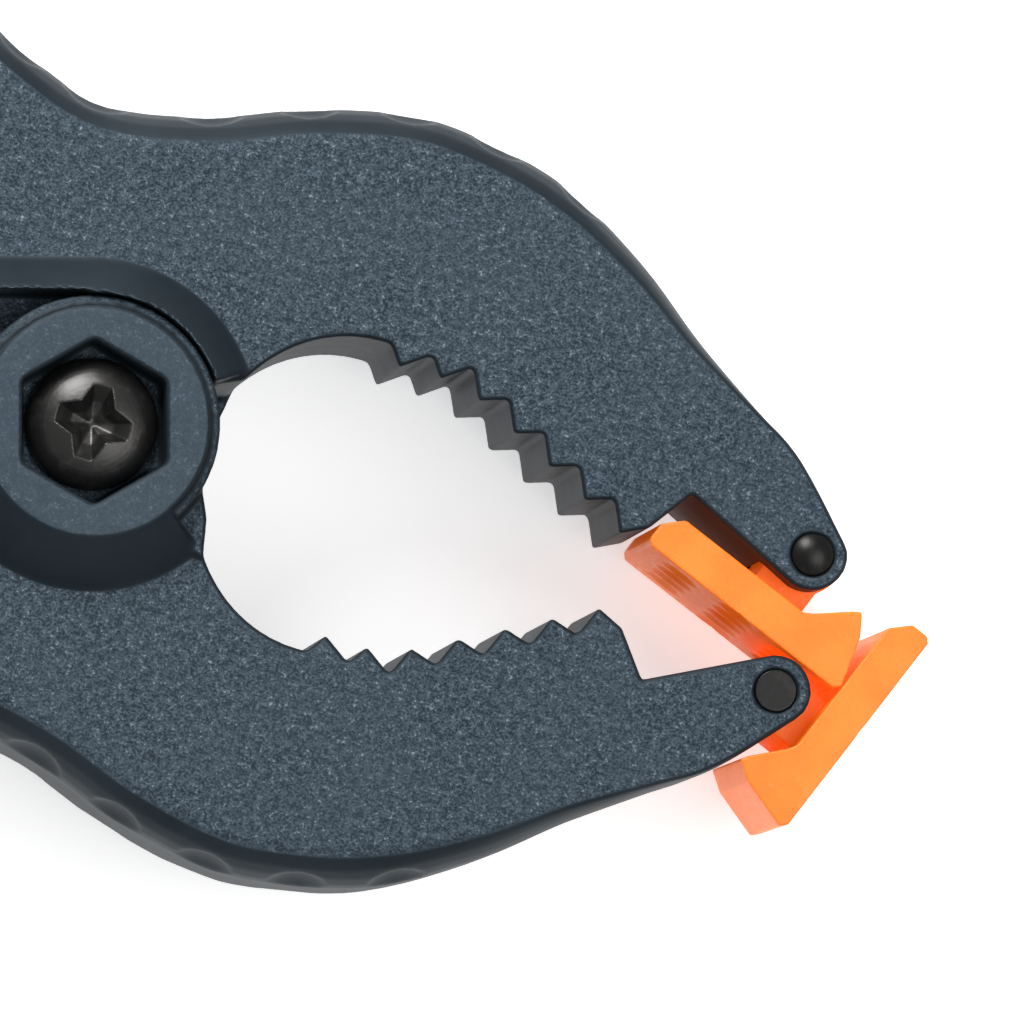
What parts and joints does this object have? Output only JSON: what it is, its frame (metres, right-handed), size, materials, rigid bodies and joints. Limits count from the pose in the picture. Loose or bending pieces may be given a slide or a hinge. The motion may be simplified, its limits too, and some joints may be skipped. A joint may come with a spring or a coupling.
{
  "type": "spring clamp",
  "caption": "Hand spring clamp with toothed jaws, swivel pads at the tips, a sprung pivot and channel handles.",
  "frame": {"origin": "on the pivot axis, at the end face of the boss that the clamp lies on", "axes": "+X towards the jaw tips, +Y across the jaws towards the upper arm, +Z along the pivot away from the face it lies on"},
  "size_m": [0.1663, 0.1128, 0.0304],
  "materials": {
    "arm_plastic": "fine textured, blue-black",
    "dark_steel": "black oxide, slightly glossy",
    "plated_steel": "zinc plated",
    "spring_steel": "drawn wire",
    "pad_plastic": "orange, slightly soft, satin"
  },
  "bodies": {
    "lower_arm": {"lower_arm": "arm_plastic", "lower_pin": "dark_steel", "torsion_spring": "spring_steel"},
    "upper_arm": {"upper_arm": "arm_plastic", "upper_pin": "dark_steel", "pivot_barrel": "plated_steel", "pivot_screw": "dark_steel"},
    "upper_pad": {"upper_pad": "pad_plastic"},
    "lower_pad": {"lower_pad": "pad_plastic"}
  },
  "joints": [
    {"name": "jaw_hinge", "type": "hinge", "parent": "lower_arm", "child": "upper_arm", "pos_m": [0, 0, 0.0152], "axis": [0, 0, 1], "range_deg": [0, 42], "stiffness_Nm_per_rad": 2, "springref_deg": -20.05, "deforming": ["torsion_spring"]},
    {"name": "upper_pad_swing", "type": "hinge", "parent": "upper_arm", "child": "upper_pad", "pos_m": [0.066, 0.0064, 0.0152], "axis": [0, 0, 1], "range_deg": [0, 134]},
    {"name": "lower_pad_swing", "type": "hinge", "parent": "lower_arm", "child": "lower_pad", "pos_m": [0.066, -0.0064, 0.0152], "axis": [0, 0, 1], "range_deg": [0, 134]}
  ],
  "couplings": [
    {"joint": "upper_pad_swing", "follows": "jaw_hinge", "ratio": 0.2},
    {"joint": "lower_pad_swing", "follows": "jaw_hinge", "ratio": 2}
  ]
}
